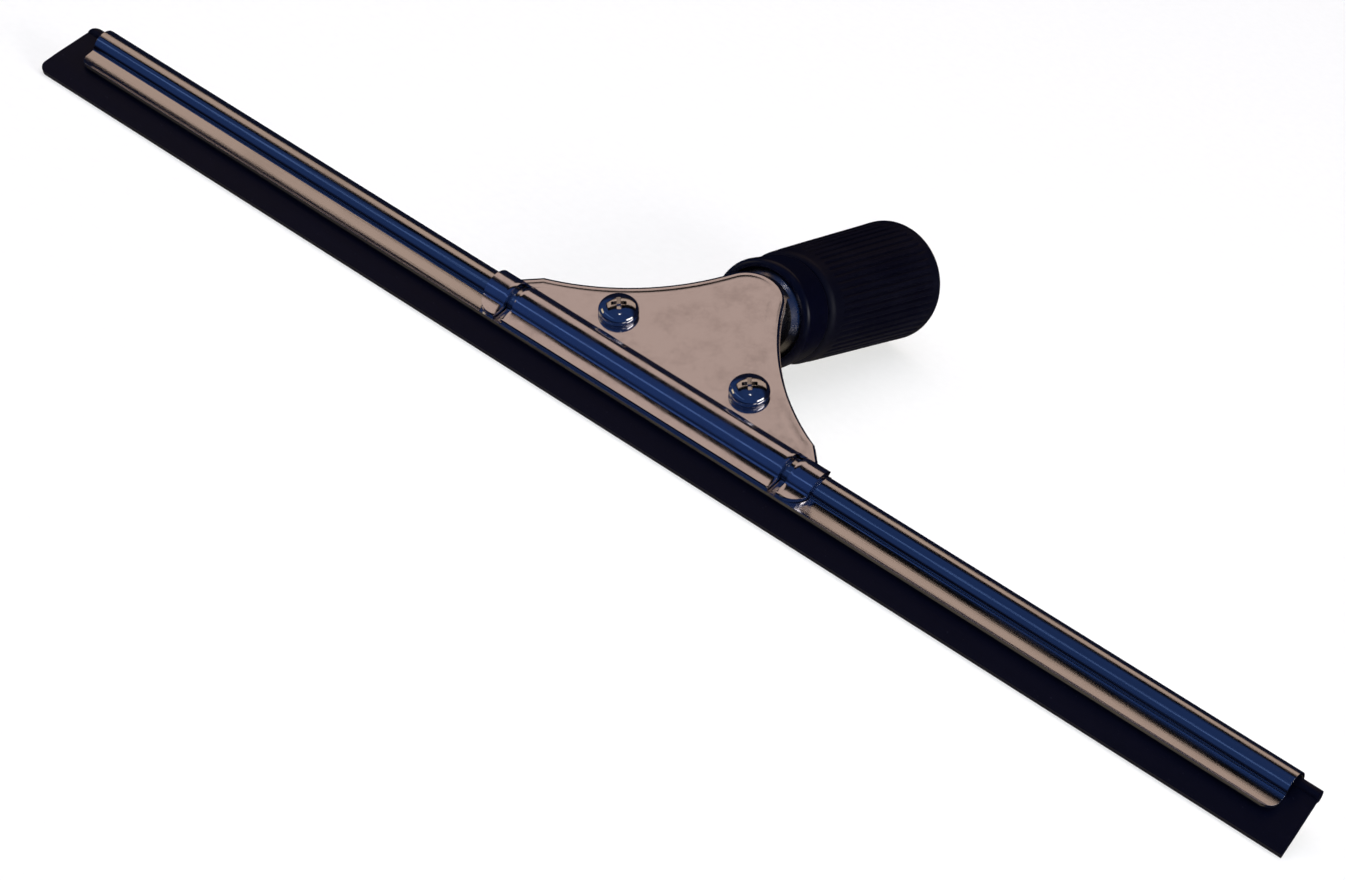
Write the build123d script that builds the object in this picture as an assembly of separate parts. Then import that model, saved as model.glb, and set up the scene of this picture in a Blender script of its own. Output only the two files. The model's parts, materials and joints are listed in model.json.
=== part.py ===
from build123d import *
import os
from math import asin, atan2, cos, degrees, hypot, radians, sin, sqrt

# Window cleaning squeegee, 350 mm blade, millimetres.
# Every piece is drawn in the blade frame: X along the blade, Y from the wiping edge towards the
# handle, Z square to the blade on the side of the screws. The whole tool is then turned about X
# so that it lies as it does on a floor, on its wiping edge and the rim of its grip.

# Blade channel, folded from one strip of sheet
channel_length = 350.0
channel_sheet = 0.8
bulb_y = 15.2              # centre line of the round back of the channel
bulb_radius = 3.8
pinch_half = 1.45          # half the outside thickness where the jaws pinch the rubber
jaw_spread = 0.7           # how much each jaw opens out between the pinch and the lip
lip_y = 6.1                # edge of the turned-out lips
lip_bend_y = 7.4           # where the lips start to turn out
lip_rise = 0.3
channel_corner = 3.0

# Rubber blade
rubber_pinch_half = 0.55
rubber_half = 0.85
rubber_edge_half = 0.75
rubber_bulb_radius = 2.8
rubber_back_y = 18.0
rubber_left_back, rubber_left_edge = -180.2, -183.2
rubber_right_back, rubber_right_edge = 180.4, 182.1
rubber_left_corner = 2.2
rubber_left_back_corner = 4.0

# Clamp plates, pressed from thicker sheet
clamp_sheet = 1.1
clamp_gap = 0.12           # clearance between the clamp plates and the channel
clamp_half_width = 47.9
clamp_jaw_y = 7.6
clamp_corner = 5.0
valley_angle = 32.0        # where the upper plate leaves the round of the channel
plate_slope = 8.7
plate_gap = 1.3            # space between the two plates
plate_base_half = 44.3
plate_corner_half, plate_corner_y = 40.0, 23.7
plate_flank_radius = 64.0
nose_radius, nose_y = 8.8, 48.5
rim_depth, rim_width = 1.0, 1.1
plate_end = 80.0           # how far the sheet runs before it is cut to its outline

# Clamp screws and weld nuts, M5
screw_half_spacing = 19.3
screw_back = 6.5           # along the plate, from the valley
screw_radius = 2.5
screw_hole_radius = 2.75
screw_length = 9.0
screw_tip_chamfer = 0.6
head_radius, head_edge, head_height = 4.8, 0.8, 3.5
dome_waist, dome_waist_height = 0.62, 0.82      # a point half way up the dome, as shares of the head
head_clearance = 0.03
recess_span, recess_width, recess_depth = 5.2, 1.1, 1.7
nut_flats, nut_height, nut_bore_radius = 8.0, 4.0, 2.55

# Handle tube, collar and grip, placed by the centre of the grip's open end
grip_end_y, grip_end_z = 99.7, -50.6
grip_droop = 38.5          # angle between the handle and the blade
grip_length = 50.3
grip_front_radius, grip_end_radius = 13.65, 14.7
grip_rounding = 2.0
collar_length = 8.4
collar_gap = 0.5
collar_front_radius, collar_back_radius = 13.4, 12.9
collar_rounding = 1.5
collar_back_rounding = 0.6
neck_radius = 9.2
socket_outer_radius = 11.5
tube_wall = 1.0
socket_inset = 2.0         # how far the tube stops short of the end of the grip
flare_length = 2.2
flare_bare = 0.2           # straight tube that shows in front of the collar
tube_start = 95.0
scarf_margin = 0.5         # how far past the flare's start the neck is cut away

# Worked out from the above
lip_half = pinch_half + jaw_spread
jaw_inner = lip_half + clamp_gap
jaw_outer = jaw_inner + clamp_sheet
wrap_inner = bulb_radius + clamp_gap
wrap_outer = wrap_inner + clamp_sheet
valley_y = bulb_y + wrap_outer * cos(radians(valley_angle))
valley_z = wrap_outer * sin(radians(valley_angle))
lower_top = clamp_sheet + plate_gap
lower_bottom = lower_top + clamp_sheet
sheet_reach = 12.0         # half height of the blanks that outlines are cut from
end_spare = 5.0            # how far blanks run past their trimmed ends

plate_frame = Pos(0, valley_y, valley_z) * Rot(X=-plate_slope)
grip_frame = Pos(0, grip_end_y, grip_end_z) * Rot(X=-(90 + grip_droop))

# Places along the handle's axis, counted back from the open end of the grip
collar_back = -grip_length - collar_gap
collar_front = collar_back - collar_length
socket_front = collar_front - flare_bare
flare_front = socket_front - flare_length


def bulb_entry(radius, height):
    """Y where a circle round the bulb's centre meets a flat at this height, on the jaw side."""
    return bulb_y - sqrt(radius**2 - height**2)


def plate_exit(radius, drop):
    """Where a circle round the bulb meets the plane lying this far under the plate's top face."""
    along_y, along_z = cos(radians(plate_slope)), -sin(radians(plate_slope))
    from_y = valley_y + drop * along_z - bulb_y
    from_z = valley_z - drop * along_y
    reach = from_y * along_y + from_z * along_z
    step = -reach + sqrt(reach**2 - from_y**2 - from_z**2 + radius**2)
    return bulb_y + from_y + step * along_y, from_z + step * along_z


def plate_far(drop):
    """The far end of the plane lying this far under the plate's top face."""
    y, z = plate_exit(wrap_outer, 0)
    slope = radians(plate_slope)
    return (y + plate_end * cos(slope) - drop * sin(slope), z - plate_end * sin(slope) - drop * cos(slope))


def along_blade(face, half_length):
    """A section drawn in Y and Z, drawn out both ways along X."""
    return extrude(Plane.YZ * face, amount=half_length, both=True)


def cut_out(outline):
    """A prism that trims a blank to an outline seen square to the blade."""
    return extrude(Pos(0, 0, -2 * sheet_reach) * outline, amount=3 * sheet_reach)


def blade_channel():
    """The folded channel: two jaws that pinch the rubber, open out and end in turned-out lips."""
    inner_radius = bulb_radius - channel_sheet
    outside = bulb_entry(bulb_radius, pinch_half)
    inside = bulb_entry(inner_radius, pinch_half - channel_sheet)
    turn = cos(radians(45))
    outer = Polyline((lip_y, lip_half + lip_rise), (lip_bend_y, lip_half), (outside, pinch_half))
    outer += ThreePointArc((outside, pinch_half), (bulb_y + bulb_radius * turn, bulb_radius * turn),
                           (bulb_y + bulb_radius, 0))
    inner = Line((bulb_y + bulb_radius, 0), (bulb_y + inner_radius, 0))
    inner += ThreePointArc((bulb_y + inner_radius, 0), (bulb_y + inner_radius * turn, inner_radius * turn),
                           (inside, pinch_half - channel_sheet))
    inner += Polyline((inside, pinch_half - channel_sheet), (lip_bend_y, lip_half - channel_sheet),
                      (lip_y, lip_half + lip_rise - channel_sheet), (lip_y, lip_half + lip_rise))
    half = make_face(outer + inner)
    section = half + mirror(half, about=Plane.XZ)
    width = bulb_y + 2 * bulb_radius - lip_y
    outline = Pos(0, lip_y + width / 2) * Rectangle(channel_length, width)
    front = outline.vertices().group_by(Axis.Y)[0]
    return along_blade(section, channel_length / 2) & cut_out(fillet(front, channel_corner))


def rubber_blade():
    web = make_face(Polyline((0, -rubber_edge_half), (0, rubber_edge_half), (lip_y, rubber_half),
                             (bulb_y, rubber_pinch_half), (bulb_y, -rubber_pinch_half),
                             (lip_y, -rubber_half), (0, -rubber_edge_half)))
    section = web + Pos(bulb_y, 0) * Circle(rubber_bulb_radius)
    outline = make_face(Polyline((rubber_left_back, rubber_back_y), (rubber_left_edge, 0),
                                 (rubber_right_edge, 0), (rubber_right_back, rubber_back_y),
                                 (rubber_left_back, rubber_back_y)))
    left_edge = outline.vertices().sort_by(Axis.X)[0]
    outline = fillet(left_edge, rubber_left_corner)
    left_back = outline.vertices().group_by(Axis.Y)[-1].sort_by(Axis.X)[0]
    outline = fillet(left_back, rubber_left_back_corner)
    return along_blade(section, rubber_right_edge + end_spare) & cut_out(outline)


def clamp_section(side, inner_drop, outer_drop):
    """Section of a clamp plate: flat jaw, round over the bulb, then the sloping plate."""
    inner_exit = plate_exit(wrap_inner, inner_drop)
    outer_exit = plate_exit(wrap_outer, outer_drop)
    inner_entry = (bulb_entry(wrap_inner, jaw_inner), side * jaw_inner)
    outer_entry = (bulb_entry(wrap_outer, jaw_outer), side * jaw_outer)
    edge = Line((clamp_jaw_y, side * jaw_inner), inner_entry)
    edge += ThreePointArc(inner_entry, (bulb_y, side * wrap_inner), inner_exit)
    edge += Polyline(inner_exit, plate_far(inner_drop), plate_far(outer_drop), outer_exit)
    edge += ThreePointArc(outer_exit, (bulb_y, side * wrap_outer), outer_entry)
    edge += Polyline(outer_entry, (clamp_jaw_y, side * jaw_outer), (clamp_jaw_y, side * jaw_inner))
    return make_face(edge)


def flank_centre():
    """Centre of the hollow arc that runs from the base corner and ends tangent to the nose."""
    span = hypot(plate_corner_half, nose_y - plate_corner_y)
    to_corner, to_nose = plate_flank_radius, plate_flank_radius + nose_radius
    along = (to_nose**2 - to_corner**2 + span**2) / (2 * span)
    off = sqrt(to_nose**2 - along**2)
    unit_x, unit_y = plate_corner_half / span, (plate_corner_y - nose_y) / span
    return along * unit_x - off * unit_y, nose_y + along * unit_y + off * unit_x


def plate_outline():
    """The triangular plate behind the channel, from the valley to the round nose."""
    centre_x, centre_y = flank_centre()
    reach = plate_flank_radius + nose_radius
    blend_x = centre_x * nose_radius / reach
    blend_y = nose_y + (centre_y - nose_y) * nose_radius / reach
    middle = atan2((blend_y + plate_corner_y) / 2 - centre_y, (blend_x + plate_corner_half) / 2 - centre_x)
    hollow_x = centre_x + plate_flank_radius * cos(middle)
    hollow_y = centre_y + plate_flank_radius * sin(middle)
    edge = ThreePointArc((-blend_x, blend_y), (0, nose_y + nose_radius), (blend_x, blend_y))
    for side in (-1, 1):
        edge += ThreePointArc((side * blend_x, blend_y), (side * hollow_x, hollow_y),
                              (side * plate_corner_half, plate_corner_y))
        edge += Line((side * plate_corner_half, plate_corner_y), (side * plate_base_half, valley_y))
    edge += Line((-plate_base_half, valley_y), (plate_base_half, valley_y))
    return make_face(edge)


def clamp_outline():
    depth = valley_y - clamp_jaw_y
    strip = Pos(0, clamp_jaw_y + depth / 2) * Rectangle(2 * clamp_half_width, depth)
    strip = fillet(strip.vertices().group_by(Axis.Y)[0], clamp_corner)
    return strip + plate_outline()


def screw_places(depth):
    """Frames on the two screw axes, this far under the upper plate's top face."""
    return [plate_frame * Pos(side * screw_half_spacing, screw_back, -depth) for side in (-1, 1)]


def clamp_plate(side, inner_drop, outer_drop):
    blank = along_blade(clamp_section(side, inner_drop, outer_drop), clamp_half_width + end_spare)
    plate = blank & cut_out(clamp_outline())
    for place in screw_places(0):
        plate -= place * Cylinder(screw_hole_radius, 4 * sheet_reach)
    return plate


def upper_clamp_plate():
    """The upper plate, with its edge turned down along the flanks and round the nose."""
    under = make_face(Polyline(plate_far(clamp_sheet), plate_exit(wrap_outer, clamp_sheet),
                               plate_exit(wrap_outer, clamp_sheet + rim_depth),
                               plate_far(clamp_sheet + rim_depth), plate_far(clamp_sheet)))
    outline = plate_outline()
    rim = cut_out(outline) - cut_out(offset(outline, -rim_width))
    behind = Pos(0, plate_corner_y + plate_end / 2, 0) * Box(4 * clamp_half_width, plate_end, 9 * sheet_reach)
    rim = rim & along_blade(under, clamp_half_width) & behind
    return clamp_plate(1, clamp_sheet, 0) + rim


def lower_clamp_plate():
    return clamp_plate(-1, lower_top, lower_bottom)


def clamp_screw(place):
    waist = (head_radius * dome_waist, head_height * dome_waist_height)
    dome = ThreePointArc((head_radius, head_edge), waist, (0, head_height))
    edge = dome + Polyline((0, head_height), (0, -screw_length),
                           (screw_radius - screw_tip_chamfer, -screw_length),
                           (screw_radius, screw_tip_chamfer - screw_length), (screw_radius, head_clearance),
                           (head_radius, head_clearance), (head_radius, head_edge))
    screw = revolve(Plane.XZ * make_face(edge), axis=Axis.Z)
    for turn in (0, 90):
        bar = Rot(Z=turn) * Box(recess_span, recess_width, 2 * recess_depth)
        screw -= Pos(0, 0, head_height) * bar
    return place * screw


def weld_nut(place):
    blank = extrude(RegularPolygon(nut_flats / 2, 6, major_radius=False), amount=-nut_height)
    return place * (blank - Cylinder(nut_bore_radius, 3 * nut_height))


def turned(points):
    """A ring of revolution about the handle's axis, from (radius, distance along the axis) points."""
    return grip_frame * revolve(Plane.XZ * make_face(Polyline(*points, points[0])), axis=Axis.Z)


def outer_rims(ring, radius):
    """The round edges of a ring that are wider than this radius, from front to back."""
    rims = [edge for edge in ring.edges().filter_by(GeomType.CIRCLE) if edge.radius > radius]
    return sorted(rims, key=lambda rim: rim.arc_center.Y)


def handle_tube():
    """The tube: its narrow neck is cut slantwise and welded under the lower plate."""
    tube = turned([(neck_radius, -tube_start), (neck_radius, flare_front),
                   (socket_outer_radius, socket_front), (socket_outer_radius, -socket_inset),
                   (socket_outer_radius - tube_wall, -socket_inset),
                   (socket_outer_radius - tube_wall, socket_front),
                   (neck_radius - tube_wall, flare_front), (neck_radius - tube_wall, -tube_start)])
    above = plate_frame * Pos(0, 0, plate_end - lower_bottom) * Box(plate_end, 4 * plate_end, 2 * plate_end)
    neck_end = grip_frame * Pos(0, 0, flare_front + scarf_margin - plate_end)
    neck_end *= Box(2 * plate_end, 2 * plate_end, 2 * plate_end)
    return tube - (above & neck_end)


def grip_sleeve():
    sleeve = turned([(socket_outer_radius, -grip_length), (grip_front_radius, -grip_length),
                     (grip_end_radius, 0), (socket_outer_radius, 0)])
    return fillet(outer_rims(sleeve, socket_outer_radius + 1), grip_rounding)


def grip_collar():
    collar = turned([(socket_outer_radius, collar_front), (collar_front_radius, collar_front),
                     (collar_back_radius, collar_back), (socket_outer_radius, collar_back)])
    front_rim, back_rim = outer_rims(collar, socket_outer_radius + 1)
    collar = fillet(front_rim, collar_rounding)
    return fillet(outer_rims(collar, socket_outer_radius + 1)[-1], collar_back_rounding)


def resting_turn():
    """Angle that brings the wiping edge and the round of the grip's rim onto one level floor."""
    droop = radians(grip_droop)
    inset = grip_end_radius - grip_rounding
    rim_y = grip_end_y - grip_rounding * cos(droop) - inset * sin(droop)
    rim_z = grip_end_z + grip_rounding * sin(droop) - inset * cos(droop)
    fall = -rubber_edge_half - rim_z
    return degrees(atan2(fall, rim_y) + asin(grip_rounding / hypot(rim_y, fall)))


left_screw, right_screw = screw_places(0)
left_nut, right_nut = screw_places(lower_bottom)
parts = {
    "rubber_blade": rubber_blade(),
    "blade_channel": blade_channel(),
    "upper_clamp_plate": upper_clamp_plate(),
    "lower_clamp_plate": lower_clamp_plate(),
    "left_clamp_screw": clamp_screw(left_screw),
    "right_clamp_screw": clamp_screw(right_screw),
    "left_weld_nut": weld_nut(left_nut),
    "right_weld_nut": weld_nut(right_nut),
    "handle_tube": handle_tube(),
    "grip_collar": grip_collar(),
    "grip_sleeve": grip_sleeve(),
}

# The row's origin is the centre of the underside of the box round the lying tool.
lying = Rot(X=resting_turn())
box = Compound(children=[lying * part for part in parts.values()]).bounding_box()
onto_floor = Pos(-box.center().X, -box.center().Y, -box.min.Z) * lying
os.makedirs("parts", exist_ok=True)
for name, part in parts.items():
    placed = onto_floor * part
    placed.label = name
    export_step(placed, f"parts/{name}.step")
print("turn about X", round(resting_turn(), 4), "origin of the blade frame", onto_floor.position)
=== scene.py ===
import json
from math import asin, atan2, cos, degrees, hypot, pi, radians, sin, sqrt

import bmesh
import bpy
from mathutils import Matrix, Vector


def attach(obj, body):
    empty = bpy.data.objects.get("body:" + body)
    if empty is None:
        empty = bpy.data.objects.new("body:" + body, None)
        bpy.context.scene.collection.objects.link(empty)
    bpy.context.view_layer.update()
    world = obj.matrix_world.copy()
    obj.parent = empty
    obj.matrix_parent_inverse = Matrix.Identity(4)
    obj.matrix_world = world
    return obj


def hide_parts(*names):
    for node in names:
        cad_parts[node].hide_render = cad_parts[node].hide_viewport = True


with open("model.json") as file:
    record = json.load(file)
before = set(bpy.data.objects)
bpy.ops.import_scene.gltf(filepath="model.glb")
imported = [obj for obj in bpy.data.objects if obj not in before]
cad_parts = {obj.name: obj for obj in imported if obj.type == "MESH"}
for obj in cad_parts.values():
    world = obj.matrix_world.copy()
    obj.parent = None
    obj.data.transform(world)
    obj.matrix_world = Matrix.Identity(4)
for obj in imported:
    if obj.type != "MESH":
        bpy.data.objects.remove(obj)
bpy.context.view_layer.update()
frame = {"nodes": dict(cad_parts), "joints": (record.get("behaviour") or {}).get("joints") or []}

# ---------------------------------------------------------------------------------------------
# Blade channel. One strip of 0.8 mm stainless sheet, roll-formed round the rubber's bead: a round
# back, two jaws that sweep outwards, and a small turned-out lip. Its front corners are rounded.
# ---------------------------------------------------------------------------------------------

# Pieces are drawn in millimetres: X along the blade, Y from the wiping edge to the handle, Z square
# to the blade on the screw side. The plate's joint then says how the tool lies on the floor.
plate_slope = radians(8.7)
bulb_y, wrap_radius = 15.2, 5.02
valley_angle = radians(32)
valley = Vector((0, bulb_y + wrap_radius * cos(valley_angle), wrap_radius * sin(valley_angle)))
along_plate = Vector((0, cos(plate_slope), -sin(plate_slope)))
plate_normal = Vector((0, sin(plate_slope), cos(plate_slope)))
screw_back, screw_half_spacing = 6.5, 19.3
corner_cuts = 8

joints = {joint["name"]: joint for joint in frame["joints"]}
lift = Vector(joints["clamp_lift"]["axis"])
between_screws = (Vector(joints["left_screw_turn"]["pos_m"])
                  + Vector(joints["right_screw_turn"]["pos_m"])) / 2
turned = Matrix.Rotation(atan2(-lift.y, lift.z) + plate_slope, 4, "X") @ Matrix.Scale(0.001, 4)
drawn = valley + screw_back * along_plate
lying = Matrix.Translation(between_screws - turned @ drawn) @ turned


def begin(add, name, **settings):
    """Adds a primitive and opens it in edit mode, with nothing else selected."""
    bpy.ops.object.select_all(action="DESELECT")
    add(**settings)
    piece = bpy.context.object
    piece.name = piece.data.name = name
    bpy.ops.object.mode_set(mode="EDIT")
    bpy.ops.mesh.select_mode(type="VERT")
    bpy.ops.mesh.select_all(action="SELECT")
    return piece


def begin_line(name, start):
    """A small triangle merged to one point, from which an outline is drawn."""
    piece = begin(bpy.ops.mesh.primitive_circle_add, name, vertices=3, radius=0.1)
    bpy.ops.mesh.merge(type="CENTER")
    bpy.ops.transform.translate(value=start)
    return piece


def pick(kind, test):
    """Selects the vertices, edges or faces that pass a test, and nothing else."""
    bpy.ops.mesh.select_all(action="DESELECT")
    bpy.ops.mesh.select_mode(type=kind)
    data = bpy.context.object.data
    mesh = bmesh.from_edit_mesh(data)
    items = {"VERT": mesh.verts, "EDGE": mesh.edges, "FACE": mesh.faces}[kind]
    for item in items:
        if test(item):
            item.select_set(True)
    bmesh.update_edit_mesh(data)


def ends(edge):
    return [vertex.co for vertex in edge.verts]


def draw_out(x=0.0, y=0.0, z=0.0):
    bpy.ops.mesh.extrude_region_move(TRANSFORM_OT_translate={"value": (x, y, z)})


def sweep(centre, axis, turn, steps):
    """Spins the selection. The operator's own angle runs the other way round its axis."""
    bpy.ops.mesh.spin(steps=steps, angle=-turn, center=centre, axis=axis)


def fold(at, heading, radius, turn, steps):
    """Rolls the selected edge of the sheet round a former. Positive turns go from Y towards Z."""
    side = 1 if turn > 0 else -1
    centre = at + side * radius * Vector((0, -sin(heading), cos(heading)))
    sweep(centre, (1, 0, 0), turn, steps)
    return centre + Matrix.Rotation(turn, 3, "X") @ (at - centre), heading + turn


def round_corners(half_width, front, radius, covers):
    """Cuts the two front corners of a sheet to a radius, seen square to the blade."""
    for side in (-1, 1):
        for step in range(corner_cuts):
            angle = radians(90 * (step + 0.5) / corner_cuts)
            out = Vector((side * cos(angle), -sin(angle), 0))
            centre = Vector((side * (half_width - radius), front + radius, 0))
            pick("FACE", covers)
            bpy.ops.mesh.bisect(plane_co=centre + radius * out, plane_no=out, clear_outer=True)


def tidy_skin(up):
    """Merges doubles and turns the skin outwards, as told by the face that lies furthest along up."""
    bpy.ops.mesh.select_all(action="SELECT")
    bpy.ops.mesh.remove_doubles(threshold=0.001)
    bpy.ops.mesh.normals_make_consistent(inside=False)
    mesh = bmesh.from_edit_mesh(bpy.context.object.data)
    highest = max(mesh.faces, key=lambda face: face.calc_center_median().dot(up))
    if highest.normal.dot(up) < 0:
        bpy.ops.mesh.flip_normals()


def apply_modifier(piece, kind, **settings):
    if piece.mode == "EDIT":
        bpy.ops.object.mode_set(mode="OBJECT")
    modifier = piece.modifiers.new(kind.title(), kind)
    for name, value in settings.items():
        setattr(modifier, name, value)
    bpy.ops.object.modifier_apply(modifier=modifier.name)


def lay(piece, place=Matrix.Identity(4), smooth=35):
    """Puts a finished piece where it belongs on the lying tool, and leaves its object at the origin."""
    if piece.mode == "EDIT":
        bpy.ops.object.mode_set(mode="OBJECT")
    bpy.ops.object.select_all(action="DESELECT")
    piece.select_set(True)
    bpy.context.view_layer.objects.active = piece
    piece.matrix_world = lying @ place @ piece.matrix_world
    bpy.ops.object.transform_apply(location=True, rotation=True, scale=True)
    bpy.ops.object.shade_smooth_by_angle(angle=radians(smooth))
    apply_modifier(piece, "WEIGHTED_NORMAL", keep_sharp=True)


class Wire:
    """A shader socket that can be added to, multiplied and so on."""

    def __init__(self, socket):
        self.socket = socket

    def math(self, operation, first, second):
        node = self.socket.node.id_data.nodes.new("ShaderNodeMath")
        node.operation = operation
        join(node.inputs[0], first)
        join(node.inputs[1], second)
        return Wire(node.outputs[0])

    def __add__(self, other): return self.math("ADD", self, other)
    def __radd__(self, other): return self.math("ADD", other, self)
    def __mul__(self, other): return self.math("MULTIPLY", self, other)
    def __rmul__(self, other): return self.math("MULTIPLY", other, self)


def join(socket, value):
    """Links a socket to a wire, or sets it to a constant."""
    if isinstance(value, Wire):
        value.socket.node.id_data.links.new(value.socket, socket)
    else:
        socket.default_value = value


def find(sockets, name):
    """A socket by its place, or the one in use that has this name."""
    if isinstance(name, int):
        return sockets[name]
    return next(socket for socket in sockets if socket.enabled and socket.name == name)


class Graph:
    """A node tree, and the one way in which nodes are added to it."""

    def __init__(self, tree):
        self.tree = tree

    def node(self, kind, settings=None, output=0, **inputs):
        """Any node: its settings are set first, then its sockets."""
        node = self.tree.nodes.new(kind)
        for name, value in (settings or {}).items():
            setattr(node, name, value)
        for name, value in inputs.items():
            join(find(node.inputs, name.replace("_", " ")), value)
        return Wire(find(node.outputs, output))

    def band(self, value, low, high):
        """0 below low, 1 above high, and smooth between."""
        return self.node("ShaderNodeMapRange", {"interpolation_type": "SMOOTHSTEP"}, Value=value,
                         From_Min=low, From_Max=high)

    def mix(self, factor, first, second):
        return self.node("ShaderNodeMix", {"data_type": "RGBA"}, output="Result", Factor=factor,
                         A=first, B=second)


class Finish(Graph):
    """A material round one Principled shader. Constants are set on the shader's own sockets."""

    def __init__(self, name, **constants):
        self.material = bpy.data.materials.new(name)
        self.material.use_nodes = True
        super().__init__(self.material.node_tree)
        self.shader = self.tree.nodes["Principled BSDF"]
        for socket, value in constants.items():
            self.shader.inputs[socket.replace("_", " ")].default_value = value
        self.place = self.node("ShaderNodeTexCoord", output="Object")

    def noise(self, scale, detail=3.0, roughness=0.5, stretch=(1, 1, 1)):
        """Noise over the piece, in cells of 1/scale metres, drawn out by stretch."""
        where = self.node("ShaderNodeMapping", Vector=self.place, Scale=[scale / s for s in stretch])
        return self.node("ShaderNodeTexNoise", output="Fac", Vector=where, Scale=1.0, Detail=detail,
                         Roughness=roughness)

    def dress(self, piece, colour=None, roughness=None, height=None, distance=0.0001):
        if colour:
            join(self.shader.inputs["Base Color"], colour)
        if roughness:
            join(self.shader.inputs["Roughness"], roughness)
        if height:
            bump = self.node("ShaderNodeBump", output="Normal", Height=height, Distance=distance)
            join(self.shader.inputs["Normal"], bump)
        piece.data.materials.clear()
        piece.data.materials.append(self.material)


channel_length, channel_sheet, bulb_radius = 350.0, 0.8, 3.8
pinch_height, valley_fillet, jaw_sweep = 1.45, 0.35, 10.0
lip_radius, lip_reach, channel_corner = 1.2, 0.6, 3.0
jaw_turn, lip_turn, channel_edge = radians(24), radians(4), 0.22

channel = begin_line("channel_strip", (-channel_length / 2, bulb_y + bulb_radius, 0))
at, heading = Vector((0, bulb_y + bulb_radius, 0)), pi / 2
pinch = asin((pinch_height + valley_fillet) / (bulb_radius + valley_fillet))
at, heading = fold(at, heading, bulb_radius, pi - pinch, 40)
at, heading = fold(at, heading, valley_fillet, pinch - pi / 2, 8)
at, heading = fold(at, heading, jaw_sweep, -jaw_turn, 12)
at, heading = fold(at, heading, lip_radius, -lip_turn, 3)
draw_out(y=lip_reach * cos(heading), z=lip_reach * sin(heading))
lip_front = at.y + lip_reach * cos(heading)
bpy.ops.mesh.select_all(action="SELECT")
draw_out(x=channel_length)
round_corners(channel_length / 2, lip_front, channel_corner,
              lambda face: face.calc_center_median().y < bulb_y - bulb_radius)
apply_modifier(channel, "MIRROR", use_axis=(False, False, True), merge_threshold=0.001)
bpy.ops.object.mode_set(mode="EDIT")
tidy_skin(Vector((0, 0, 1)))
apply_modifier(channel, "SOLIDIFY", thickness=channel_sheet, offset=-1, use_even_offset=True)
apply_modifier(channel, "BEVEL", width=channel_edge, segments=4, limit_method="ANGLE",
               angle_limit=radians(50))
lay(channel)

rolled = Finish("rolled_stainless", Metallic=1.0)
grain = rolled.noise(9000, stretch=(400, 1, 1), detail=4)
streaks = rolled.noise(700, stretch=(60, 1, 1), detail=2)
smears = rolled.noise(70, stretch=(3, 1, 1), detail=4, roughness=0.6)
rubbed = rolled.band(smears, 0.45, 0.75)
rolled.dress(channel, rolled.mix(rubbed, (0.64, 0.62, 0.61, 1), (0.55, 0.53, 0.52, 1)),
             0.07 + 0.1 * grain * streaks + 0.09 * rubbed, grain + 0.6 * streaks, 0.000012)
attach(channel, "channel")
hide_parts("blade_channel")

# ---------------------------------------------------------------------------------------------
# Rubber blade. Moulded black rubber with a small round bead held in the channel and a web out to
# the square wiping edge. It is cut a little longer than the channel: clean at the right end, and
# on a slant with worn corners at the left.
# ---------------------------------------------------------------------------------------------

rubber_edge_half, rubber_lip_half, rubber_pinch_half, bead_radius = 0.75, 0.85, 0.55, 1.4
left_edge, left_back, right_edge, right_back, back_y = -183.2, -180.2, 182.1, 180.4, 18.0
rubber_lip_y, rubber_blank, edge_corner, back_corner = 6.1, 190.0, 2.2, 4.0
bead_y = back_y - bead_radius


def trim(corner, first, last, radius, steps):
    """Rounds a corner seen square to the blade, between sides facing first and last."""
    scale = radius / (1 + first.dot(last))
    centre = corner - scale * (first + last)
    for step in range(steps):
        out = first.slerp(last, (step + 0.5) / steps)
        bpy.ops.mesh.select_all(action="SELECT")
        bpy.ops.mesh.bisect(plane_co=centre + radius * out, plane_no=out, use_fill=True, clear_outer=True)


rubber = begin(bpy.ops.mesh.primitive_cube_add, "rubber_strip", size=2)
bpy.ops.transform.resize(value=(rubber_blank, bead_y / 2, rubber_edge_half))
bpy.ops.transform.translate(value=(0, bead_y / 2, 0))
for row in (rubber_lip_y, bulb_y):
    bpy.ops.mesh.select_all(action="SELECT")
    bpy.ops.mesh.bisect(plane_co=(0, row, 0), plane_no=(0, 1, 0))
for row, half in ((rubber_lip_y, rubber_lip_half), (bulb_y, rubber_pinch_half),
                  (bead_y, rubber_pinch_half)):
    pick("VERT", lambda vertex: abs(vertex.co.y - row) < 0.01)
    bpy.ops.transform.resize(value=(1, 1, half / rubber_edge_half))
bpy.ops.object.mode_set(mode="OBJECT")
bead = begin(bpy.ops.mesh.primitive_cylinder_add, "bead", vertices=40, radius=bead_radius,
             depth=2 * rubber_blank, rotation=(0, pi / 2, 0), location=(0, bead_y, 0))
bpy.ops.object.mode_set(mode="OBJECT")
bpy.context.view_layer.objects.active = rubber
apply_modifier(rubber, "BOOLEAN", operation="UNION", object=bead, solver="EXACT")
bpy.data.objects.remove(bead)
bpy.ops.object.select_all(action="DESELECT")
rubber.select_set(True)
bpy.ops.object.mode_set(mode="EDIT")
edge_out, back_out = Vector((0, -1, 0)), Vector((0, 1, 0))
left_out = Vector((-back_y, left_back - left_edge, 0)).normalized()
right_out = Vector((back_y, right_edge - right_back, 0)).normalized()
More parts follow.
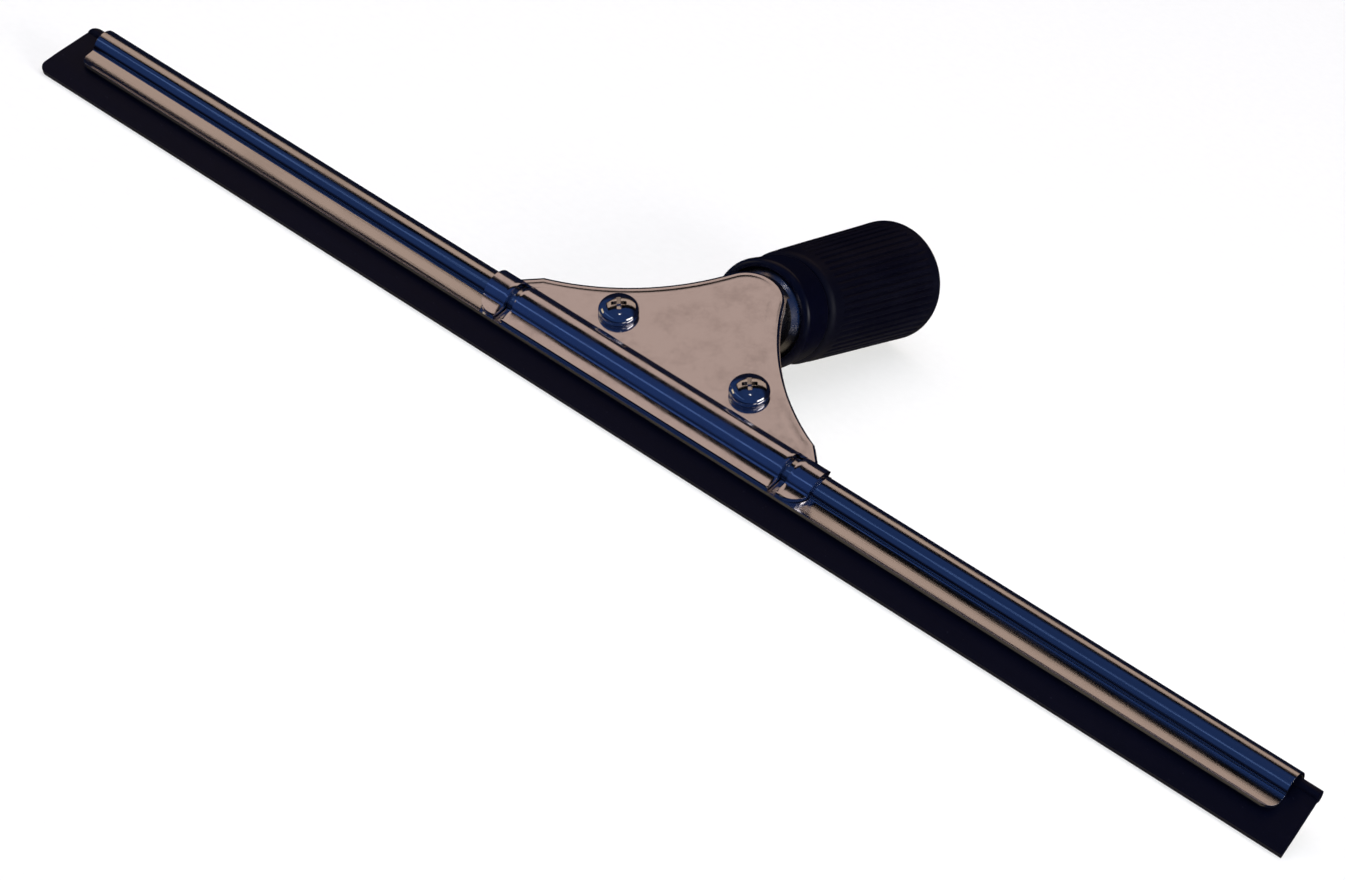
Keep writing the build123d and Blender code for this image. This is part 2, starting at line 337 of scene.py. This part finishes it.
for through, out in ((Vector((left_edge, 0, 0)), left_out), (Vector((right_edge, 0, 0)), right_out)):
    bpy.ops.mesh.select_all(action="SELECT")
    bpy.ops.mesh.bisect(plane_co=through, plane_no=out, use_fill=True, clear_outer=True)
trim(Vector((left_edge, 0, 0)), left_out, edge_out, edge_corner, 6)
trim(Vector((left_back, back_y, 0)), left_out, back_out, back_corner, 6)
bpy.ops.mesh.select_all(action="SELECT")
bpy.ops.mesh.remove_doubles(threshold=0.001)
bpy.ops.mesh.normals_make_consistent(inside=False)
apply_modifier(rubber, "BEVEL", width=0.1, segments=2, limit_method="ANGLE", angle_limit=radians(60))
lay(rubber)

moulded = Finish("moulded_rubber", Specular_IOR_Level=0.35)
bloom = moulded.noise(120, stretch=(5, 1, 1), detail=5, roughness=0.6)
lines = moulded.noise(1600, stretch=(80, 1, 1), detail=2)
specks = moulded.band(moulded.noise(1500, detail=1), 0.74, 0.78)
# Both rubber colours are black with a painted blue cast of shade; the bloom noise only varies the tone at
# random, and the specks are dust.
bloom_and_painted_blue_shade = moulded.mix(moulded.band(bloom, 0.4, 0.8), (0.0025, 0.003, 0.02, 1), (0.006, 0.006, 0.026, 1))
moulded.dress(rubber, moulded.mix(0.35 * specks, bloom_and_painted_blue_shade, (0.06, 0.06, 0.09, 1)),
              0.32 + 0.22 * bloom + 0.1 * lines, lines + 0.8 * bloom, 0.00003)
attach(rubber, "rubber")
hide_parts("rubber_blade")

# ---------------------------------------------------------------------------------------------
# Upper clamp plate. One pressing from 1.1 mm stainless: a triangular plate with its edge turned
# down along the hollow flanks and round the nose, and a strip that wraps the back of the channel.
# A faint trough runs inside the turned edge, where the press drew the sheet down.
# ---------------------------------------------------------------------------------------------

clamp_sheet, strip_half, strip_front, strip_corner = 1.1, 47.9, 7.6, 5.0
base_half, corner_half, corner_reach = 44.3, 40.0, 4.29
flank_radius, nose_radius, nose_reach = 64.0, 8.8, 29.38
spare, rim_depth, rim_bend = 6.0, 2.1, 1.2
strip_fillet, strip_pinch, hole_radius = 0.8, 2.95, 2.75
rim_flat, trough_slope, trough_depth, trough_far = 0.7, 0.8, 0.16, 0.5
top_face_area, plate_edge = 900, 0.18


def on_plate(x, reach):
    return Vector((x, 0, 0)) + valley + reach * along_plate


def reach_of(point):
    """How far behind the valley a point lies, and how far under the plate's top face."""
    return (point - valley).dot(along_plate), -(point - valley).dot(plate_normal)


span = hypot(corner_half, nose_reach - corner_reach)
reach_sum = flank_radius + nose_radius
part_way = (reach_sum**2 - flank_radius**2 + span**2) / (2 * span)
off = sqrt(reach_sum**2 - part_way**2)
unit = Vector((corner_half, corner_reach - nose_reach)) / span
flank = Vector((part_way * unit.x - off * unit.y, nose_reach + part_way * unit.y + off * unit.x))
to_nose = atan2(nose_reach - flank.y, -flank.x)
to_corner = atan2(corner_reach - flank.y, corner_half - flank.x)
flank_turn = (to_nose - to_corner + pi) % (2 * pi) - pi
nose_start = atan2(flank.y - nose_reach, flank.x)
overshoot = (base_half - corner_half) * (1 + spare / corner_reach)

plate = begin_line("clamp_pressing", on_plate(corner_half + overshoot, -spare))
draw_out(*(on_plate(corner_half, corner_reach) - on_plate(corner_half + overshoot, -spare)))
sweep(on_plate(*flank), plate_normal, flank_turn, 20)
sweep(on_plate(0, nose_reach), plate_normal, pi - 2 * nose_start, 24)
sweep(on_plate(-flank.x, flank.y), plate_normal, flank_turn, 20)
draw_out(*(on_plate(-corner_half - overshoot, -spare) - on_plate(-corner_half, corner_reach)))
pick("VERT", lambda vertex: reach_of(vertex.co)[0] < -spare + 0.01)
bpy.ops.mesh.edge_face_add()
bpy.ops.mesh.select_all(action="SELECT")
bpy.ops.mesh.remove_doubles(threshold=0.001)
draw_out(*(-rim_depth * plate_normal))
pick("EDGE", lambda edge: all(abs(reach_of(end)[1]) < 0.01 for end in ends(edge)))
bpy.ops.mesh.edge_face_add()
bpy.ops.mesh.select_all(action="SELECT")
bpy.ops.mesh.normals_make_consistent(inside=False)
pick("EDGE", lambda edge: all(abs(reach_of(end)[1]) < 0.01 for end in ends(edge)))
bpy.ops.mesh.bevel(offset=rim_bend, segments=5, affect="EDGES")
pick("FACE", lambda face: face.calc_area() > top_face_area)
for width, sink in ((rim_flat, 0), (trough_slope, -trough_depth), (trough_slope, trough_depth),
                    (trough_far, 0)):
    bpy.ops.mesh.inset(thickness=width, depth=sink)
bpy.ops.mesh.select_all(action="SELECT")
bpy.ops.mesh.bisect(plane_co=valley, plane_no=along_plate, clear_inner=True)
pick("EDGE", lambda edge: all(abs(reach_of(end)[0]) < 0.01 and reach_of(end)[1] < 0.1
                              for end in ends(edge)))
row_end = max(abs(end.x) for edge in bmesh.from_edit_mesh(plate.data).edges if edge.select
              for end in ends(edge))
strip_wrap = asin((strip_pinch + strip_fillet) / (wrap_radius + strip_fillet))
at, heading = fold(valley, valley_angle + pi / 2, wrap_radius, pi - strip_wrap - valley_angle, 30)
at, heading = fold(at, heading, strip_fillet, strip_wrap - pi / 2, 8)
at, heading = fold(at, heading, jaw_sweep, -asin((at.y - strip_front) / jaw_sweep), 8)
for side in (-1, 1):
    pick("EDGE", lambda edge: all(abs(end.x - side * row_end) < 0.001 and reach_of(end)[0] < 0.01
                                  for end in ends(edge)) and edge.is_boundary)
    draw_out(x=side * (strip_half - row_end))
round_corners(strip_half, strip_front, strip_corner,
              lambda face: face.calc_center_median().y < bulb_y)
tidy_skin(plate_normal)
apply_modifier(plate, "SOLIDIFY", thickness=clamp_sheet, offset=-1, use_even_offset=True)
for side in (-1, 1):
    drill = begin(bpy.ops.mesh.primitive_cylinder_add, "drill", vertices=32, radius=hole_radius,
                  depth=12, rotation=(-plate_slope, 0, 0),
                  location=on_plate(side * screw_half_spacing, screw_back))
    bpy.ops.object.mode_set(mode="OBJECT")
    bpy.context.view_layer.objects.active = plate
    apply_modifier(plate, "BOOLEAN", operation="DIFFERENCE", object=drill, solver="EXACT")
    bpy.data.objects.remove(drill)
apply_modifier(plate, "BEVEL", width=plate_edge, segments=2, limit_method="ANGLE",
               angle_limit=radians(50))
lay(plate)

pressed = Finish("pressed_stainless", Metallic=1.0)
dents = pressed.noise(45, detail=1.5, roughness=0.4)
mottle = pressed.noise(160, detail=5, roughness=0.65)
grit = pressed.noise(5200, detail=2)
handled = pressed.band(mottle, 0.4, 0.8)
pressed.dress(plate, pressed.mix(handled, (0.72, 0.70, 0.74, 1), (0.65, 0.62, 0.65, 1)),
              0.09 + 0.1 * handled + 0.05 * grit, 3.5 * dents + 0.1 * mottle + 0.04 * grit, 0.00006)
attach(plate, "clamp")
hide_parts("upper_clamp_plate")

# ---------------------------------------------------------------------------------------------
# Lower clamp plate, handle tube and weld nuts. Sheet, tube and nuts are stainless, welded together
# under the blade, and less polished than the face. They keep the shapes of the frame.
# ---------------------------------------------------------------------------------------------

mill = Finish("mill_stainless", Metallic=1.0)
scale_marks = mill.noise(220, detail=4, roughness=0.6)
scratches = mill.noise(2600, stretch=(30, 1, 1), detail=2)
mill_colour = mill.mix(mill.band(scale_marks, 0.35, 0.7), (0.50, 0.48, 0.47, 1), (0.38, 0.36, 0.35, 1))
mill.dress(frame["nodes"]["lower_clamp_plate"], mill_colour, 0.16 + 0.14 * scale_marks + 0.1 * scratches,
           scratches + 0.5 * scale_marks, 0.00002)
for name in ("handle_tube", "left_weld_nut", "right_weld_nut"):
    mill.dress(frame["nodes"][name])

# ---------------------------------------------------------------------------------------------
# Clamp screws. Bright M5 screws with a tall domed head and a tapered cross recess, turned from
# bar. The recess is punched into the dome, and the shank is threaded to its tip.
# ---------------------------------------------------------------------------------------------

head_radius, head_edge, head_dome, head_lift = 4.8, 1.1, 2.3, 0.03
head_foot = 4.1
shank_radius, thread_depth, thread_pitch, shank_length = 2.45, 0.35, 0.8, 9.0
recess_span, recess_width, recess_depth = 5.2, 1.1, 1.7
recess_narrowing, recess_taper, recess_turn, head_burr = 0.45, 0.8, 42, 0.08


def turn_rings(name, columns, rings):
    """A turned piece: a circle drawn out along Z and scaled, ring by ring, from (radius, z) pairs."""
    (radius, height), *others = rings
    piece = begin(bpy.ops.mesh.primitive_circle_add, name, vertices=columns, radius=radius)
    bpy.ops.transform.translate(value=(0, 0, height))
    for next_radius, next_height in others:
        draw_out(z=next_height - height)
        ratio = next_radius / radius
        bpy.ops.transform.resize(value=(ratio, ratio, 1), center_override=(0, 0, 0))
        radius, height = next_radius, next_height
    return piece


def quarter(centre_radius, centre_height, radius, start, end, steps=6):
    """Points round an arc of a ring's section, with angles from outwards to up, in degrees."""
    angles = [radians(start + (end - start) * step / steps) for step in range(steps + 1)]
    return [(centre_radius + radius * cos(a), centre_height + radius * sin(a)) for a in angles]


turns = int((shank_length - 1) / thread_pitch)
thread = [(shank_radius - thread_depth, head_lift)]
for turn in range(turns):
    crest = -0.6 - thread_pitch * turn
    thread += [(shank_radius, crest), (shank_radius - thread_depth, crest - thread_pitch / 2)]
tip = [(0.05, -shank_length), (shank_radius - 0.6, -shank_length)]
dome = [(head_radius * cos(radians(a)), head_edge + head_dome * sin(radians(a))) for a in range(0, 88, 6)]
under = [(head_foot + (head_radius - head_foot) * sin(radians(a)),
          head_edge - (head_edge - head_lift) * cos(radians(a))) for a in range(0, 90, 15)]
screw_rings = tip + thread[::-1] + under + dome

bright = Finish("bright_screw_steel", Metallic=1.0)
swirl = bright.noise(900, detail=3)
bright_colour = bright.mix(bright.band(swirl, 0.4, 0.8), (0.67, 0.66, 0.65, 1), (0.58, 0.57, 0.55, 1))

screw = turn_rings("left_screw", 48, screw_rings)
pick("VERT", lambda vertex: vertex.co.z > head_edge + head_dome * sin(radians(83)))
bpy.ops.mesh.edge_face_add()
pick("VERT", lambda vertex: vertex.co.z < -shank_length + 0.01 and vertex.co.xy.length < 0.1)
bpy.ops.mesh.merge(type="CENTER")
bpy.ops.mesh.select_all(action="SELECT")
bpy.ops.mesh.normals_make_consistent(inside=False)
bpy.ops.object.mode_set(mode="OBJECT")
for bar_turn in (recess_turn, recess_turn + 90):
    punch = begin(bpy.ops.mesh.primitive_cube_add, "punch", size=1)
    bpy.ops.transform.resize(value=(recess_span, recess_width, 2 * recess_depth))
    pick("VERT", lambda vertex: vertex.co.z < 0)
    bpy.ops.transform.resize(value=(recess_narrowing, recess_taper, 1))
    bpy.ops.object.mode_set(mode="OBJECT")
    punch.location = (0, 0, head_edge + head_dome)
    punch.rotation_euler = (0, 0, radians(bar_turn))
    bpy.context.view_layer.update()
    bpy.context.view_layer.objects.active = screw
    apply_modifier(screw, "BOOLEAN", operation="DIFFERENCE", object=punch, solver="EXACT")
    bpy.data.objects.remove(punch)
apply_modifier(screw, "BEVEL", width=head_burr, segments=2, limit_method="ANGLE",
               angle_limit=radians(40))
bright.dress(screw, bright_colour, 0.06 + 0.1 * swirl, swirl, 0.00001)
other_screw = screw.copy()
other_screw.data = screw.data.copy()
other_screw.name = other_screw.data.name = "right_screw"
bpy.context.scene.collection.objects.link(other_screw)

for piece, name, side in ((screw, "left_screw", -1), (other_screw, "right_screw", 1)):
    lay(piece, Matrix.Translation(on_plate(side * screw_half_spacing, screw_back))
        @ Matrix.Rotation(-plate_slope, 4, "X"))
    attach(piece, name)
    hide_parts(name.replace("screw", "clamp_screw"))

# ---------------------------------------------------------------------------------------------
# Grip collar. A smooth ring of satin black plastic, pushed on to the tube in front of the sleeve,
# with a rounded front shoulder.
# ---------------------------------------------------------------------------------------------

grip_place = Matrix.Translation((0, 99.7, -50.6)) @ Matrix.Rotation(-radians(90 + 38.5), 4, "X")
tube_fit, collar_front, collar_back = 11.52, -61.0, -50.8
front_radius, front_round, back_radius, back_round = 13.4, 1.5, 12.9, 0.6
collar = turn_rings("collar_ring", 96, [(tube_fit, collar_front)]
                    + quarter(front_radius - front_round, collar_front + front_round, front_round,
                              -90, 0, 10)
                    + quarter(back_radius - back_round, collar_back - back_round, back_round, 0, 90)
                    + [(tube_fit, collar_back), (tube_fit, collar_front)])
tidy_skin(Vector((1, 0, 0)))
lay(collar, grip_place)

satin = Finish("satin_black_plastic", Specular_IOR_Level=0.45)
orange_peel = satin.noise(1400, detail=2)
rub = satin.noise(150, detail=4)
# Both colours are black with a painted blue cast of shade; the rub noise only varies the tone at random.
satin.dress(collar, satin.mix(satin.band(rub, 0.45, 0.8), (0.003, 0.003, 0.018, 1), (0.007, 0.007, 0.024, 1)),
            0.24 + 0.16 * rub, orange_peel, 0.00002)
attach(collar, "handle")
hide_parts("grip_collar")

# ---------------------------------------------------------------------------------------------
# Grip sleeve. Black rubber, moulded with 48 fine ribs along it and rounded at both ends. It is
# pushed on to the tube, and its open end takes a pole.
# ---------------------------------------------------------------------------------------------

ribs, columns_per_rib, rib_depth, rib_middle_radius = 48, 6, 0.4, 14.2
sleeve_front, shoulder, neck_radius, end_radius = -50.3, 2.0, 13.65, 14.7
ribs_front, ribs_back, mouth_chamfer = -45, -5, 0.4
columns = ribs * columns_per_rib
body = [(13.72, -45.6), (13.8, -44.4), (14.15, -28), (14.5, -10), (14.62, -5.2), (14.66, -4.2)]
sleeve = turn_rings("ribbed_sleeve", columns, [(tube_fit, sleeve_front)]
                    + quarter(neck_radius - shoulder, sleeve_front + shoulder, shoulder, -90, 0, 8) + body
                    + quarter(end_radius - shoulder, -shoulder, shoulder, 0, 90, 8)
                    + [(tube_fit + mouth_chamfer, 0), (tube_fit, -mouth_chamfer),
                       (tube_fit, sleeve_front)])
pick("VERT", lambda vertex: vertex.co.xy.length > 13 and ribs_front < vertex.co.z < ribs_back
     and round(degrees(atan2(vertex.co.y, vertex.co.x)) * columns / 360) % columns_per_rib < 2)
groove = 1 - rib_depth / rib_middle_radius
bpy.ops.transform.resize(value=(groove, groove, 1), center_override=(0, 0, 0))
tidy_skin(Vector((1, 0, 0)))
lay(sleeve, grip_place, smooth=50)

soft_rubber = Finish("grip_rubber", Specular_IOR_Level=0.4)
leathery = soft_rubber.noise(2400, detail=3)
palmed = soft_rubber.noise(90, detail=5, roughness=0.6)
# Both colours are black with a painted blue cast of shade; the palmed noise only varies the tone at random.
soft_rubber.dress(sleeve, soft_rubber.mix(soft_rubber.band(palmed, 0.4, 0.8), (0.003, 0.003, 0.018, 1),
                                          (0.008, 0.008, 0.026, 1)),
                  0.42 + 0.2 * palmed, leathery, 0.00004)
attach(sleeve, "handle")
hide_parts("grip_sleeve")

# ---------------------------------------------------------------------------------------------
# Studio. A pale floor, a long warm softbox overhead in a black frame, small cards at the sides and
# front, and a deep blue room that the steel mirrors everywhere else. One light is the floor's own.
# ---------------------------------------------------------------------------------------------

bpy.ops.object.select_all(action="DESELECT")
bpy.ops.mesh.primitive_plane_add(size=8)
floor = bpy.context.object
floor.name = "floor"
paper = Finish("pale_floor", Roughness=0.9)
fibre = paper.noise(400, detail=3)
paper.dress(floor, paper.mix(fibre, (0.86, 0.86, 0.865, 1), (0.90, 0.90, 0.905, 1)))
floor.visible_glossy = False


def softbox(name, place, aim, size, radiance, glossy=True):
    """A rectangular area light that glows evenly, with this colour as its brightness."""
    light = bpy.data.lights.new(name, "AREA")
    light.shape = "RECTANGLE"
    light.size, light.size_y = size
    light.energy = pi * size[0] * size[1] * max(radiance)
    light.color = [value / max(radiance) for value in radiance]
    lamp = bpy.data.objects.new(name, light)
    bpy.context.scene.collection.objects.link(lamp)
    lamp.location = place
    lamp.rotation_euler = aim
    lamp.visible_camera, lamp.visible_glossy = False, glossy
    return lamp


softbox("overhead", (-0.69, 0.60, 1.5), (0, 0, radians(46)), (2.6, 0.82), (0.55, 0.415, 0.345))
softbox("right_card", (1.1, -0.1, 0.5), (radians(90), 0, radians(98)), (0.7, 0.35), (3.0, 2.9, 2.8))
softbox("front_strip", (-0.55, -1.2, 0.69), (radians(60), 0, radians(-25)), (1.4, 0.12),
        (0.08, 0.14, 0.3))
softbox("screw_light", (0.08, -0.65, 1.37), (radians(-25), 0, 0), (0.12, 0.12), (4.0, 4.0, 4.0))
softbox("left_card", (-1.1, -0.6, 0.35), (radians(90), 0, radians(-62)), (0.45, 0.3), (0.9, 0.75, 0.45))
fill = softbox("fill", (0, 0, 2.2), (0, 0, 0), (3, 3), (2.7, 2.7, 2.6), glossy=False)
fill.data.use_shadow = False
lit = bpy.data.collections.new("floor_only")
lit.objects.link(floor)
fill.light_linking.receiver_collection = lit

# A black frame round the overhead box, which only the steel's reflections see.
bpy.ops.object.select_all(action="DESELECT")
bpy.ops.mesh.primitive_plane_add(size=1)
flag = bpy.context.object
flag.name = "black_frame"
flag.scale = (3.1, 1.4, 1)
flag.rotation_euler = (0, 0, radians(46))
flag.location = (-0.63, 0.54, 1.53)
bpy.ops.object.transform_apply(location=True, rotation=True, scale=True)
flag.visible_camera = flag.visible_diffuse = flag.visible_shadow = False
black = Finish("black_felt", Roughness=1.0, Base_Color=(0.002, 0.002, 0.002, 1), Specular_IOR_Level=0.0)
black.dress(flag)

world = bpy.data.worlds.new("studio_room")
world.use_nodes = True
bpy.context.scene.world = world
room = Graph(world.node_tree)
way = room.node("ShaderNodeTexCoord", output="Generated")
towards_back = room.band(room.node("ShaderNodeSeparateXYZ", output="Y", Vector=way), 0.15, 0.45)
height = room.node("ShaderNodeSeparateXYZ", output="Z", Vector=way)
walls = room.mix(towards_back, (0.016, 0.038, 0.13, 1), (0.006, 0.008, 0.022, 1))
lower_walls = room.mix(room.band(height, -0.3, 0.0), (0.002, 0.002, 0.006, 1), walls)
seen_in_steel = room.mix(room.band(height, -0.75, -0.5), (0.16, 0.14, 0.11, 1), lower_walls)
camera_ray = room.node("ShaderNodeLightPath", output="Is Camera Ray")
join(world.node_tree.nodes["Background"].inputs["Color"],
     room.mix(camera_ray, seen_in_steel, (0.93, 0.93, 0.935, 1)))

bpy.context.scene.view_settings.view_transform = "Standard"

# Camera: a long lens held high at the front right, rolled to the left.
camera = bpy.data.objects.new("camera", bpy.data.cameras.new("camera"))
bpy.context.scene.collection.objects.link(camera)
camera.data.lens, camera.data.sensor_width = 112.48, 36
camera.location = (0.40474, -0.79583, 0.43818)
look_at = Vector((-0.00347, -0.01917, -0.0138))
camera.rotation_mode = "QUATERNION"
camera.rotation_quaternion = (look_at - camera.location).to_track_quat("-Z", "Y") @ Matrix.Rotation(
    radians(18.67), 3, "Z").to_quaternion()
bpy.context.scene.camera = camera
